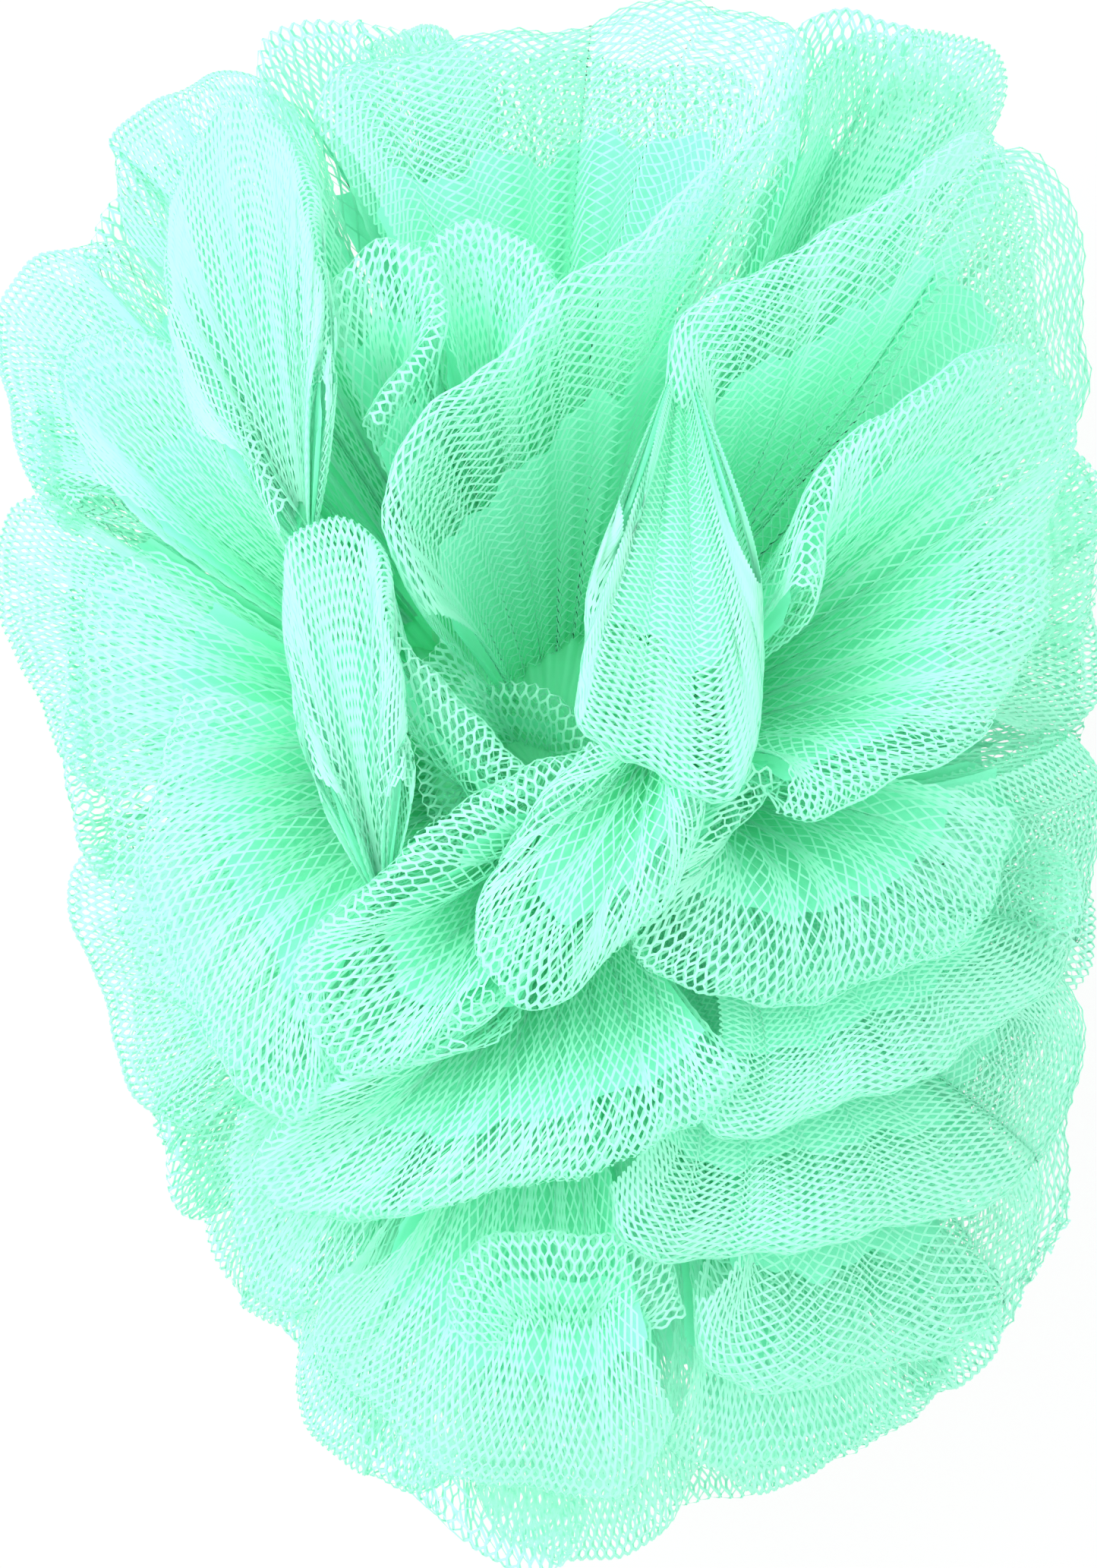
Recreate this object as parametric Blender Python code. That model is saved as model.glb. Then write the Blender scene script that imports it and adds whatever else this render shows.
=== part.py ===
"""Mesh bath pouf, lying as it comes to rest: a length of tubular net, gathered and tied at its waist.

The net opens above and below the waist into ruffles. Each ruffle is a pocket of two layers: it
leaves the gathered trunk, spreads out from its heart and turns over in a rounded crest. +Z is up,
+Y runs along the pouf and the origin is under its middle, on the surface that it lies on.
"""

import math
from dataclasses import dataclass

import bmesh
import bpy
import numpy as np

MM = 0.001

# Overall form: millimetres to one unit of the plan, how many units the outline reaches from the waist
# at equal bearings from +X round to +Y and on, and the heights
PLAN_UNIT = 1.0
REACH = (58, 66, 88, 80, 84, 63, 51, 52, 64, 83, 78, 60)
WAIST_HEIGHT = 46
CROWN_RISE = 50
UNDER_DROP = 50
DOME_POWER = 2.3

# The gathered trunk
NECK_RADIUS = 8.0
TRUNK_RADIUS = 20.0
TRUNK_REACH = 22.0
TRUNK_FLARE = 6.6
TRUNK_SHOULDER = 9.9
FLARE_STEPS = 5
CROWN_STEPS = 4
TRUNK_ROUNDS = 16

# The tie
CORD_RADIUS = 1.4
CORD_TURNS = 2
CORD_STEPS = 4
TURN_MEET = math.radians(55)
TURN_PITCH = 2 * CORD_RADIUS * math.sin(TURN_MEET)
TIE_ROUNDS = 28
TIE_CLEARANCE = 0.3
NECK_LENGTH = TURN_PITCH * (CORD_TURNS - 1) + 2 * CORD_RADIUS + 2 * TIE_CLEARANCE

# The ruffles
POCKET = 1.1
ROOT_THIN = 0.25
ROOT_RISE = 11.0
ROOT_SHARE = 0.22
HEART_SHARE = 0.42
HEART_DEPTH = 8.0
FOOT_SHARE = 0.2
FOOT_DEPTH = 20.0
END_SHARE = 0.74
END_LENGTH = 9.0
FLUTE_DEPTH = 0.7
FLUTE_LENGTH = 21.0
COLUMN_STEP = 10.0
UNDER_STEP = 14.0
ROWS = (0.0, 0.40, 0.72, 1.0)

# Specks nearer than this are merged away
MERGE = 0.001

# Finishes
NET_COLOUR = (0.35, 0.93, 0.68)
NET_ROUGHNESS = 0.45
CORD_COLOUR = (0.30, 0.85, 0.62)
CORD_ROUGHNESS = 0.6


@dataclass
class Ruffle:
    """One ruffle: its crest passes the plan points and its folds spread from its heart.

    Both are in plan units; the depth of the heart, the sink of the whole ruffle, the puff of its
    faces and the roll of its crest are in millimetres. A ruffle with a foot is a flap: it starts at
    its heart, on the ruffles below, and not down at the trunk.
    """

    name: str
    crest: tuple
    heart: tuple
    depth: float = HEART_DEPTH
    sink: float = 0.0
    puff: float = 1.0
    roll: float = POCKET
    foot: bool = False
    under: bool = False


def upper_ruffles():
    """The ruffles of the upper side, from the rim inwards."""
    return [
        Ruffle(
            "rim_north_west",
            ((-49, 61), (-46, 69), (-41, 74), (-33, 76), (-26, 75)),
            (-18, 36),
            sink=14,
        ),
        Ruffle("rim_north_bump", ((-25, 73), (-19, 79), (-12, 81), (-5, 78)), (-8, 40), sink=12),
        Ruffle(
            "rim_north",
            ((-28, 74), (-7, 78), (13, 82), (23, 81), (31, 76)),
            (-2, 44),
            sink=3,
            roll=1.6,
        ),
        Ruffle("rim_north_east", ((28, 77), (34, 80), (42, 80), (49, 77), (51, 71)), (22, 48), sink=14),
        Ruffle("rim_east_upper", ((50, 73), (55, 62), (57, 50), (57, 36)), (28, 34), sink=6),
        Ruffle("rim_east", ((54, 42), (58, 30), (58, 16), (57, 2)), (28, 16), sink=14),
        Ruffle("rim_east_lower", ((58, 8), (58, -6), (57, -18), (54, -28)), (28, -8), sink=5),
        Ruffle("rim_south_east", ((57, -22), (55, -42), (51, -55), (46, -64)), (24, -30), sink=15),
        Ruffle("rim_south_right", ((47, -63), (37, -68), (26, -73), (17, -78)), (18, -38), sink=6),
        Ruffle("rim_south", ((18, -77), (10, -81), (0, -82), (-6, -79), (-10, -74)), (3, -44), sink=15),
        Ruffle("rim_south_left", ((-7, -76), (-17, -74), (-25, -69), (-29, -60)), (-8, -38), sink=6),
        Ruffle("rim_south_west", ((-28, -63), (-34, -52), (-39, -41), (-44, -31)), (-16, -28), sink=15),
        Ruffle("rim_west_lower", ((-40, -40), (-46, -27), (-50, -13), (-50, -3)), (-24, -16), sink=6),
        Ruffle("rim_west", ((-49, -4), (-54, 8), (-58, 19), (-58, 29), (-54, 35)), (-26, 14), sink=13),
        Ruffle(
            "rim_west_upper",
            ((-54, 28), (-57, 38), (-58, 48), (-55, 56), (-48, 61)),
            (-26, 32),
            sink=5,
        ),
        Ruffle(
            "west_roll",
            ((-38, -28), (-43, -16), (-46, 0), (-48, 15), (-46, 27)),
            (-18, 6),
            sink=3,
            depth=4,
            roll=1.8,
        ),
        Ruffle(
            "west_fan",
            ((-28, 32), (-34, 41), (-42, 47), (-51, 45), (-52, 36)),
            (-24, 12),
            sink=2,
            depth=5,
        ),
        Ruffle(
            "west_lobe",
            ((-38, 10), (-41, -8), (-37, -21), (-31, -31), (-25, -33), (-22, -27)),
            (-22, 8),
            depth=2,
            roll=2.0,
        ),
        Ruffle(
            "leaf",
            ((-38, 40), (-40, 54), (-38, 65), (-33, 71), (-27, 67), (-24, 57), (-24, 44)),
            (-25, 24),
            depth=0,
            foot=True,
            roll=1.2,
        ),
        Ruffle(
            "loop_west",
            ((-24, 54), (-18, 57), (-13, 54), (-12, 46), (-18, 38)),
            (-21, 36),
            sink=2,
            depth=9,
        ),
        Ruffle("loop_north", ((-14, 49), (-12, 56), (-6, 58), (0, 55), (2, 49)), (-8, 38), sink=2, depth=9),
        Ruffle(
            "flap",
            ((-25, 3), (-27, 14), (-27, 24), (-22, 27), (-18, 25), (-16, 14), (-15, 3)),
            (-17, -14),
            depth=0,
            foot=True,
            roll=0.9,
        ),
        Ruffle(
            "centre_face",
            ((29, 76), (20, 66), (10, 58), (3, 52), (-7, 43), (-15, 34), (-17, 27), (-14, 20)),
            (2, 5),
            depth=24,
        ),
        Ruffle(
            "centre_left",
            ((-19, 26), (-17, 18), (-11, 9), (-5, 4), (0, 1)),
            (-14, -8),
            sink=4,
            depth=4,
        ),
        Ruffle(
            "east_sheet",
            ((52, 71), (42, 66), (33, 59), (21, 52), (14, 48), (11, 42)),
            (28, 26),
            sink=1,
            depth=10,
            roll=1.4,
        ),
        Ruffle(
            "triangle",
            ((7, 24), (3, 9), (7, 4), (12, 1), (17, -1), (21, 3), (23, 18)),
            (14, 46),
            sink=-2,
            depth=0,
            foot=True,
            roll=0.9,
        ),
        Ruffle(
            "east_lobe",
            ((26, 21), (29, 31), (35, 38), (43, 43), (51, 45), (54, 37), (52, 25), (49, 12), (42, 4), (33, 0), (24, -4)),
            (25, 11),
            sink=-1,
            depth=2,
            roll=1.6,
        ),
        Ruffle(
            "south_east_roll",
            ((20, 0), (11, -9), (11, -16), (19, -21), (31, -20), (43, -14), (50, -4)),
            (34, 6),
            sink=3,
            depth=2,
            roll=2.2,
        ),
        Ruffle(
            "tongue",
            ((4, 3), (-4, -7), (-7, -15), (-5, -20), (0, -22), (5, -19), (11, -12), (17, -2)),
            (12, 6),
            sink=0,
            depth=-2,
            foot=True,
            roll=1.4,
        ),
        Ruffle(
            "centre_lobe",
            ((4, 3), (-6, -2), (-18, -11), (-24, -17), (-24, -24), (-20, -29), (-14, -28), (-6, -23)),
            (3, -9),
            sink=1,
            depth=1,
            roll=2.0,
        ),
        Ruffle(
            "south_lobe",
            ((-12, -26), (-22, -31), (-29, -37), (-28, -43), (-20, -45), (-6, -42), (10, -37), (21, -30)),
            (10, -22),
            sink=2,
            depth=1,
            roll=1.8,
        ),
        Ruffle(
            "east_band",
            ((58, 8), (58, -8), (54, -19), (46, -26), (33, -32), (21, -36), (12, -37)),
            (34, -12),
            sink=4,
            depth=3,
            roll=1.4,
        ),
        Ruffle(
            "south_band",
            ((57, -20), (55, -34), (49, -42), (40, -45), (28, -47), (15, -49), (3, -45)),
            (30, -22),
            sink=5,
            depth=3,
            roll=1.6,
        ),
        Ruffle(
            "south_fold",
            ((-12, -56), (-9, -51), (-2, -48), (6, -48), (12, -51), (16, -55)),
            (2, -70),
            sink=4,
            depth=0,
            foot=True,
            roll=1.2,
        ),
        Ruffle(
            "south_tube",
            ((54, -42), (49, -53), (41, -59), (27, -62), (17, -61), (14, -56)),
            (34, -32),
            sink=5,
            depth=3,
            roll=1.8,
        ),
        Ruffle(
            "south_face",
            ((-22, -54), (-18, -63), (-8, -69), (3, -71), (13, -69)),
            (0, -42),
            sink=6,
            depth=4,
        ),
        Ruffle(
            "south_right_face",
            ((52, -54), (44, -63), (33, -69), (21, -72), (10, -72)),
            (26, -42),
            sink=6,
            depth=4,
        ),
        Ruffle(
            "south_west_face",
            ((-34, -34), (-33, -46), (-29, -55), (-22, -58)),
            (-14, -30),
            sink=5,
            depth=4,
        ),
        Ruffle("deep_east", ((13, 22), (19, 12), (20, 1), (14, -8)), (4, 6), sink=13),
        Ruffle("deep_west", ((-4, -11), (-11, -4), (-14, 7), (-12, 17)), (-1, 3), sink=16),
        Ruffle("deep_middle", ((-9, 11), (-2, 9), (5, 4), (10, -2)), (0, 0), sink=22),
    ]


# The under side: rings of ruffles, each with its share of the reach, number, first bearing in degrees,
# slant and sinks
UNDER_RINGS = (
    (0.97, 9, 12, 0.06, (16, 5)),
    (0.72, 6, 40, -0.10, (0, 0)),
    (0.44, 5, 5, 0.14, (0, 0)),
    (0.16, 2, 60, 0.02, (0, 0)),
)
UNDER_OVERLAP = 1.12
UNDER_POINTS = 5
UNDER_HEART = 0.48
UNDER_PUFF = 2.0


def reach(bearing):
    """How many plan units the outline lies from the waist at a bearing in radians."""
    place = (bearing / (2 * math.pi)) % 1.0 * len(REACH)
    first = int(place)
    part = place - first
    near = [REACH[(first + step) % len(REACH)] for step in (-1, 0, 1, 2)]
    return catmull_rom(near, part)


def catmull_rom(near, part):
    """The smooth value between the middle two of four neighbours."""
    before, start, end, after = near
    slope_in = 0.5 * (end - before)
    slope_out = 0.5 * (after - start)
    square = part * part
    cube = square * part
    return (
        (2 * cube - 3 * square + 1) * start
        + (cube - 2 * square + part) * slope_in
        + (3 * square - 2 * cube) * end
        + (cube - square) * slope_out
    )


def dome_height(x, y, under):
    """The height of the pouf's domed surface over a plan point."""
    share = math.hypot(x, y) / reach(math.atan2(y, x))
    lift = max(0.0, 1.0 - share**DOME_POWER) ** (1.0 / DOME_POWER)
    if under:
        return WAIST_HEIGHT - UNDER_DROP * lift
    return WAIST_HEIGHT + CROWN_RISE * lift


def under_ruffles():
    """The ruffles of the under side, in rings that slant so that each overlaps the next."""
    ruffles = []
    for ring, (share, number, first, slant, sinks) in enumerate(UNDER_RINGS):
        for index in range(number):
            middle = math.radians(first) + 2 * math.pi * index / number
            crest = []
            for point in range(UNDER_POINTS):
                along = 2.0 * point / (UNDER_POINTS - 1) - 1.0
                bearing = middle + along * UNDER_OVERLAP * math.pi / number
                far = reach(bearing) * (share + slant * along)
                crest.append((far * math.cos(bearing), far * math.sin(bearing)))
            far = reach(middle) * share * UNDER_HEART
            heart = (far * math.cos(middle), far * math.sin(middle))
            name = f"under_{ring}_{index}"
            sink = sinks[index % len(sinks)]
            ruffles.append(Ruffle(name, tuple(crest), heart, sink=sink, puff=UNDER_PUFF, under=True))
    return ruffles


def smooth_line(points, step):
    """A smooth line through plan points, in even steps, with the distance along it."""
    padded = [points[0], *points, points[-1]]
    fine = []
    for index in range(len(points) - 1):
        for part in np.linspace(0.0, 1.0, 12, endpoint=False):
            fine.append([catmull_rom([p[axis] for p in padded[index:index + 4]], part) for axis in (0, 1)])
    fine.append(points[-1])
    fine = np.array(fine, dtype=float)
    along = np.concatenate(([0.0], np.cumsum(np.linalg.norm(np.diff(fine, axis=0), axis=1))))
    columns = max(4, round(along[-1] / step))
    places = np.linspace(0.0, along[-1], columns + 1)
    line = np.column_stack([np.interp(places, along, fine[:, axis]) for axis in (0, 1)])
    return line, places


def ruffle_sheet(ruffle, index):
    """The middle surface of one ruffle: a grid of points from its root rows out to its crest row."""
    line, places = smooth_line(ruffle.crest, UNDER_STEP if ruffle.under else COLUMN_STEP)
    side = -1.0 if ruffle.under else 1.0
    heart = np.array(ruffle.heart)
    sheet = np.zeros((len(line), len(ROWS), 3))
    for column, (plan, place) in enumerate(zip(line, places)):
        height = dome_height(plan[0], plan[1], ruffle.under) - side * ruffle.sink
        crest = np.array([PLAN_UNIT * plan[0], PLAN_UNIT * plan[1], height])
        neck = heart + HEART_SHARE * (plan - heart)
        neck_height = dome_height(neck[0], neck[1], ruffle.under) - side * (ruffle.sink + ruffle.depth)
        bend = np.array([PLAN_UNIT * neck[0], PLAN_UNIT * neck[1], neck_height])
        from_end = min(place, places[-1] - place) / END_LENGTH
        share = END_SHARE + (1.0 - END_SHARE) * math.sin(0.5 * math.pi * min(1.0, from_end))
        crest = bend + share * (crest - bend)
        root = np.array([ROOT_SHARE * bend[0], ROOT_SHARE * bend[1], WAIST_HEIGHT + side * ROOT_RISE])
        if ruffle.foot:
            foot = heart + FOOT_SHARE * (plan - heart)
            foot_height = dome_height(foot[0], foot[1], ruffle.under) - side * (ruffle.sink + FOOT_DEPTH)
            root = np.array([PLAN_UNIT * foot[0], PLAN_UNIT * foot[1], foot_height])
        for row, part in enumerate(ROWS):
            sheet[column, row] = (1 - part) ** 2 * root + 2 * part * (1 - part) * bend + part**2 * crest
    normals = sheet_normals(sheet)
    waves = np.sin(2 * math.pi * places / FLUTE_LENGTH + index)
    sheet += FLUTE_DEPTH * (np.array(ROWS) ** 2)[None, :, None] * waves[:, None, None] * normals
    return sheet


def sheet_normals(sheet):
    """The unit normal at each point of a sheet."""
    across = np.gradient(sheet, axis=0)
    upward = np.gradient(sheet, axis=1)
    normals = np.cross(across, upward)
    lengths = np.linalg.norm(normals, axis=2, keepdims=True)
    return normals / np.maximum(lengths, 1e-9)


def ruffle_solid(ruffle, index):
    """One ruffle as a closed pocket: two layers that meet in a rounded crest."""
    sheet = ruffle_sheet(ruffle, index)
    normals = sheet_normals(sheet)
    part = np.array(ROWS)
    swell = ruffle.roll * (ROOT_THIN + (1.0 - ROOT_THIN) * part) + ruffle.puff * part * (1.0 - part**6)
    offset = normals * swell[None, :, None]
    front = sheet + offset
    back = sheet - offset
    outward = sheet[:, -1] - sheet[:, -2]
    outward /= np.linalg.norm(outward, axis=1, keepdims=True)
    tip = sheet[:, -1] + outward * ruffle.roll
    columns, rows = sheet.shape[:2]

    mesh = bmesh.new()
    loops = []
    for column in range(columns):
        section = [*front[column], tip[column], *back[column][::-1]]
        loops.append([mesh.verts.new(point) for point in section])
    for first, second in zip(loops, loops[1:]):
        for here in range(len(first)):
            there = (here + 1) % len(first)
            mesh.faces.new((first[here], second[here], second[there], first[there]))
    for loop in (loops[0], loops[-1]):
        last = len(loop) - 1
        for row in range(rows - 1):
            mesh.faces.new((loop[row], loop[row + 1], loop[last - row - 1], loop[last - row]))
        mesh.faces.new((loop[rows - 1], loop[rows], loop[rows + 1]))
    bmesh.ops.triangulate(mesh, faces=mesh.faces)
    bmesh.ops.recalc_face_normals(mesh, faces=mesh.faces)
    return mesh


def trunk_solid():
    """The gathered middle of the net: a waisted core that the ruffles grow from."""
    half_neck = 0.5 * NECK_LENGTH
    profile = [(NECK_RADIUS, half_neck)]
    for step in range(1, FLARE_STEPS + 1):
        turn = 0.5 * math.pi * step / FLARE_STEPS
        radius = NECK_RADIUS + (TRUNK_RADIUS - NECK_RADIUS) * math.sin(turn)
        profile.append((radius, half_neck + TRUNK_FLARE * (1 - math.cos(turn))))
    for step in range(1, CROWN_STEPS):
        turn = 0.5 * math.pi * step / CROWN_STEPS
        height = TRUNK_SHOULDER + (TRUNK_REACH - TRUNK_SHOULDER) * math.sin(turn)
        profile.append((TRUNK_RADIUS * math.cos(turn), height))
    upper = profile
    lower = [(radius, -height) for radius, height in reversed(profile)]
    rings = lower + upper
    mesh = bmesh.new()
    loops = []
    for radius, height in rings:
        loop = []
        for index in range(TRUNK_ROUNDS):
            bearing = 2 * math.pi * index / TRUNK_ROUNDS
            point = (radius * math.cos(bearing), radius * math.sin(bearing), WAIST_HEIGHT + height)
            loop.append(mesh.verts.new(point))
        loops.append(loop)
    for first, second in zip(loops, loops[1:]):
        for here in range(TRUNK_ROUNDS):
            there = (here + 1) % TRUNK_ROUNDS
            mesh.faces.new((first[here], first[there], second[there], second[here]))
    for loop, height in ((loops[0], -TRUNK_REACH), (loops[-1], TRUNK_REACH)):
        pole = mesh.verts.new((0.0, 0.0, WAIST_HEIGHT + height))
        for here in range(TRUNK_ROUNDS):
            mesh.faces.new((loop[here], loop[(here + 1) % TRUNK_ROUNDS], pole))
    bmesh.ops.recalc_face_normals(mesh, faces=mesh.faces)
    return mesh


def to_object(mesh, name):
    """A mesh in millimetres as a scene object in metres."""
    bmesh.ops.scale(mesh, vec=(MM, MM, MM), verts=mesh.verts)
    data = bpy.data.meshes.new(name)
    mesh.to_mesh(data)
    mesh.free()
    thing = bpy.data.objects.new(name, data)
    bpy.context.scene.collection.objects.link(thing)
    return thing


def united(name, solids):
    """The exact union of closed solids, also where one solid crosses itself."""
    group = bpy.data.collections.new(name + "_solids")
    bpy.context.scene.collection.children.link(group)
    for solid in solids[1:]:
        group.objects.link(solid)
    step = solids[0].modifiers.new("union", "BOOLEAN")
    step.operation = "UNION"
    step.solver = "EXACT"
    step.operand_type = "COLLECTION"
    step.collection = group
    step.use_self = True
    whole = applied(solids[0])
    for solid in solids[1:]:
        bpy.data.objects.remove(solid)
    bpy.data.collections.remove(group)
    whole.name = name
    return whole


def applied(thing):
    """An object whose mesh is the result of its modifiers."""
    graph = bpy.context.evaluated_depsgraph_get()
    data = bpy.data.meshes.new_from_object(thing.evaluated_get(graph))
    thing.modifiers.clear()
    thing.data = data
    return thing


def pressed_flat(net):
    """The net cut level where it is pressed on the surface that it lies on."""
    mesh = bmesh.new()
    width = 4 * PLAN_UNIT * max(REACH)
    bmesh.ops.create_cube(mesh, size=1.0)
    bmesh.ops.scale(mesh, vec=(width, width, UNDER_DROP), verts=mesh.verts)
    bmesh.ops.translate(mesh, vec=(0.0, 0.0, -0.5 * UNDER_DROP), verts=mesh.verts)
    floor = to_object(mesh, "floor_cutter")
    step = net.modifiers.new("press", "BOOLEAN")
    step.operation = "DIFFERENCE"
    step.solver = "EXACT"
    step.object = floor
    applied(net)
    bpy.data.objects.remove(floor)
    return net


def keep_largest_body(net):
    """One clean outer skin: specks are merged away and closed pockets inside are filled."""
    mesh = bmesh.new()
    mesh.from_mesh(net.data)
    bmesh.ops.triangulate(mesh, faces=mesh.faces)
    bmesh.ops.remove_doubles(mesh, verts=mesh.verts, dist=MERGE * MM)
    waiting = set(mesh.verts)
    bodies = []
    while waiting:
        body = set()
        front = [waiting.pop()]
        while front:
            vertex = front.pop()
            body.add(vertex)
            for edge in vertex.link_edges:
                other = edge.other_vert(vertex)
                if other in waiting:
                    waiting.remove(other)
                    front.append(other)
        bodies.append(body)
    bodies.sort(key=len)
    for body in bodies[:-1]:
        bmesh.ops.delete(mesh, geom=list(body), context="VERTS")
    bmesh.ops.recalc_face_normals(mesh, faces=mesh.faces)
    mesh.to_mesh(net.data)
    mesh.free()
    return net


def tie_section():
    """The outline across the wound cord: round turns pressed together, from the outside in."""
    bottom = -0.5 * TURN_PITCH * (CORD_TURNS - 1)
    centre = NECK_RADIUS + TIE_CLEARANCE + CORD_RADIUS
    outer = []
    for turn in range(CORD_TURNS):
        start = -0.5 * math.pi if turn == 0 else -TURN_MEET
        stop = 0.5 * math.pi if turn == CORD_TURNS - 1 else TURN_MEET
        for step in range(CORD_STEPS + 1):
            angle = start + (stop - start) * step / CORD_STEPS
            if turn > 0 and step == 0:
                continue
            height = bottom + TURN_PITCH * turn + CORD_RADIUS * math.sin(angle)
            outer.append((centre + CORD_RADIUS * math.cos(angle), height))
    inner = [(2 * centre - radius, height) for radius, height in outer[-2:0:-1]]
    return outer + inner


def tie_solid():
    """The cord wound round the waist: its turns lie against each other as one ribbed ring."""
    section = tie_section()
    mesh = bmesh.new()
    loops = []
    for index in range(TIE_ROUNDS):
        bearing = 2 * math.pi * index / TIE_ROUNDS
        loop = []
        for radius, height in section:
            point = (radius * math.cos(bearing), radius * math.sin(bearing), WAIST_HEIGHT + height)
            loop.append(mesh.verts.new(point))
        loops.append(loop)
    for index, first in enumerate(loops):
        second = loops[(index + 1) % TIE_ROUNDS]
        for here in range(len(section)):
            there = (here + 1) % len(section)
            mesh.faces.new((first[here], first[there], second[there], second[here]))
    bmesh.ops.recalc_face_normals(mesh, faces=mesh.faces)
    return mesh


def plastic(name, colour, roughness):
    """A plain plastic finish."""
    material = bpy.data.materials.new(name)
    material.use_nodes = True
    shader = material.node_tree.nodes["Principled BSDF"]
    shader.inputs["Base Color"].default_value = (*colour, 1.0)
    shader.inputs["Roughness"].default_value = roughness
    return material


def build():
    """The two pieces: the gathered net and the cord that ties it."""
    for thing in list(bpy.data.objects):
        bpy.data.objects.remove(thing)

    ruffles = upper_ruffles() + under_ruffles()
    solids = [to_object(trunk_solid(), "net")]
    for index, ruffle in enumerate(ruffles):
        solids.append(to_object(ruffle_solid(ruffle, index), ruffle.name))
    net = keep_largest_body(pressed_flat(united("net", solids)))
    net.data.materials.clear()
    net.data.materials.append(plastic("mint_net", NET_COLOUR, NET_ROUGHNESS))

    tie = to_object(tie_solid(), "waist_tie")
    tie.data.materials.append(plastic("mint_cord", CORD_COLOUR, CORD_ROUGHNESS))
    for polygon in tie.data.polygons:
        polygon.use_smooth = True


build()
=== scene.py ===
import math
from dataclasses import dataclass

import bpy
import numpy as np
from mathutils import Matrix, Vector


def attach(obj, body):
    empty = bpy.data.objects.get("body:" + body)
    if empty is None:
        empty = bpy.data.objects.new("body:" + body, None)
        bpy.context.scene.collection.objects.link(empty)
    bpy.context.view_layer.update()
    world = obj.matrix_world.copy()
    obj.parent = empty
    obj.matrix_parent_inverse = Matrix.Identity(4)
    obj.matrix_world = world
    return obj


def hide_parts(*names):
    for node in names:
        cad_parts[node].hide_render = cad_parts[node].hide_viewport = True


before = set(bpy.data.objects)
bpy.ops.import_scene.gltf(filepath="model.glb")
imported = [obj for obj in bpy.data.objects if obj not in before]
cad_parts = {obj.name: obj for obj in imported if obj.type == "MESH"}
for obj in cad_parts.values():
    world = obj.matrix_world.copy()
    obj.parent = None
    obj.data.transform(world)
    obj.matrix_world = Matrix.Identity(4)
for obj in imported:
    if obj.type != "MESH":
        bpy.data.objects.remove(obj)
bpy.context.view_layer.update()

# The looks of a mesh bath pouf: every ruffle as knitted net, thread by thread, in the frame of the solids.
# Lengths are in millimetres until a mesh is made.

MM = 0.001

# Overall form, as in the solids
REACH = (58, 66, 88, 80, 84, 63, 51, 52, 64, 83, 78, 60)
WAIST_HEIGHT = 46
CROWN_RISE = 50
UNDER_DROP = 50
DOME_POWER = 2.3
POCKET = 1.1
ROOT_THIN = 0.25
ROOT_RISE = 11.0
ROOT_SHARE = 0.22
HEART_SHARE = 0.42
HEART_DEPTH = 8.0
END_SHARE = 0.74
END_LENGTH = 9.0
FLUTE_DEPTH = 0.7
FLUTE_LENGTH = 21.0
PUFF_POWER = 6
UNDER_OVERLAP = 1.12
UNDER_POINTS = 5
UNDER_HEART = 0.48
UNDER_PUFF = 2.0

# The under side: rings of ruffles, each with its share of the reach, number, first bearing, slant and sinks
UNDER_RINGS = (
    (0.97, 9, 12, 0.06, (16, 5)),
    (0.72, 6, 40, -0.10, (0, 0)),
    (0.44, 5, 5, 0.14, (0, 0)),
    (0.16, 2, 60, 0.02, (0, 0)),
)

# The net: its diamond cells at a crest, and its threads
CELL_WIDTH = 1.3
CELL_LENGTH = 2.9
THREAD_WIDTH = 0.32
ROOT_THREAD = 0.45
CELL_ROUND = 0.22
ROUND_ZONE = 5.0
TWIST = math.radians(20)
LEAST_SWINGS = 6
LEAST_THREADS = 4
FACES_IN_ONE_PIECE = 95000

# How dense the net is, and where it starts on a ruffle, from 0 at the root to 1 at the crest
UPPER_NET = (1.0, 0.12)
UNDER_NET = (0.78, 0.20)

# The feet of the flaps, narrower and shallower than in the solids
FOOT_SHARE = 0.08
FOOT_DEPTH = 7.0
FOOT_START = 0.06

# The ruffles whose threads run along the crest and not across it
ALONG = (
    "rim_north",
    "centre_face",
    "east_sheet",
    "triangle",
    "east_band",
    "south_band",
    "south_tube",
    "rim_east_upper",
    "rim_south_east",
)

# The ruffles whose net is drawn taut: close threads, and less painted shade down to the gathers
TAUT = ("leaf", "flap", "triangle", "east_band", "south_band")
TAUT_CLOSENESS = 1.5
# How light a taut ruffle is painted at its gathers, so that it gets less painted shade there
TAUT_SHADE_LIFT = 0.5

# The ruffles with loose threads at the lower end of their crest, where the net was cut
FRAYED = ("rim_south_east",)
FRAY_START = 0.5
FRAY_THREADS = 60
FRAY_LENGTHS = (0.8, 2.6)
FRAY_LEAN = 0.7
FRAY_CURL = 1.2
FRAY_POINTS = 6

# Small folds that the solids leave out
CREST_WAVES = ((0.5, 17.0), (0.25, 6.3))
PLEATS = ((0.3, 8.3), (0.15, 4.1))
PLEAT_POWER = 0.7
SEED = 7

# The smooth grid under the threads
GRID_STEP = 1.3
CURVE_STEPS = 12
FACE_ROWS = 26
ROW_SPREAD = 0.85
CREST_ROWS = 7

# The press against the floor
FLOOR_GAP = 0.2
FLOOR_STACK = 1.6
FLOOR_SOFTNESS = 3.0

# The deeper layers inside each ruffle
LINING_END = 0.74
LINING_WAVES = ((0.02, 15.0), (0.01, 6.5))
LINING_ROWS = 12

# The gathered middle, a little slimmer than the solid at its neck, so that it lies under the tie
NECK_RADIUS = 7.6
TRUNK_RADIUS = 20.0
TRUNK_REACH = 22.0
TRUNK_WIDEST = 0.5
TRUNK_ROWS = 41
TRUNK_COLUMNS = 240
TRUNK_PLEATS = 40
TRUNK_PLEAT = 0.05
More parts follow.
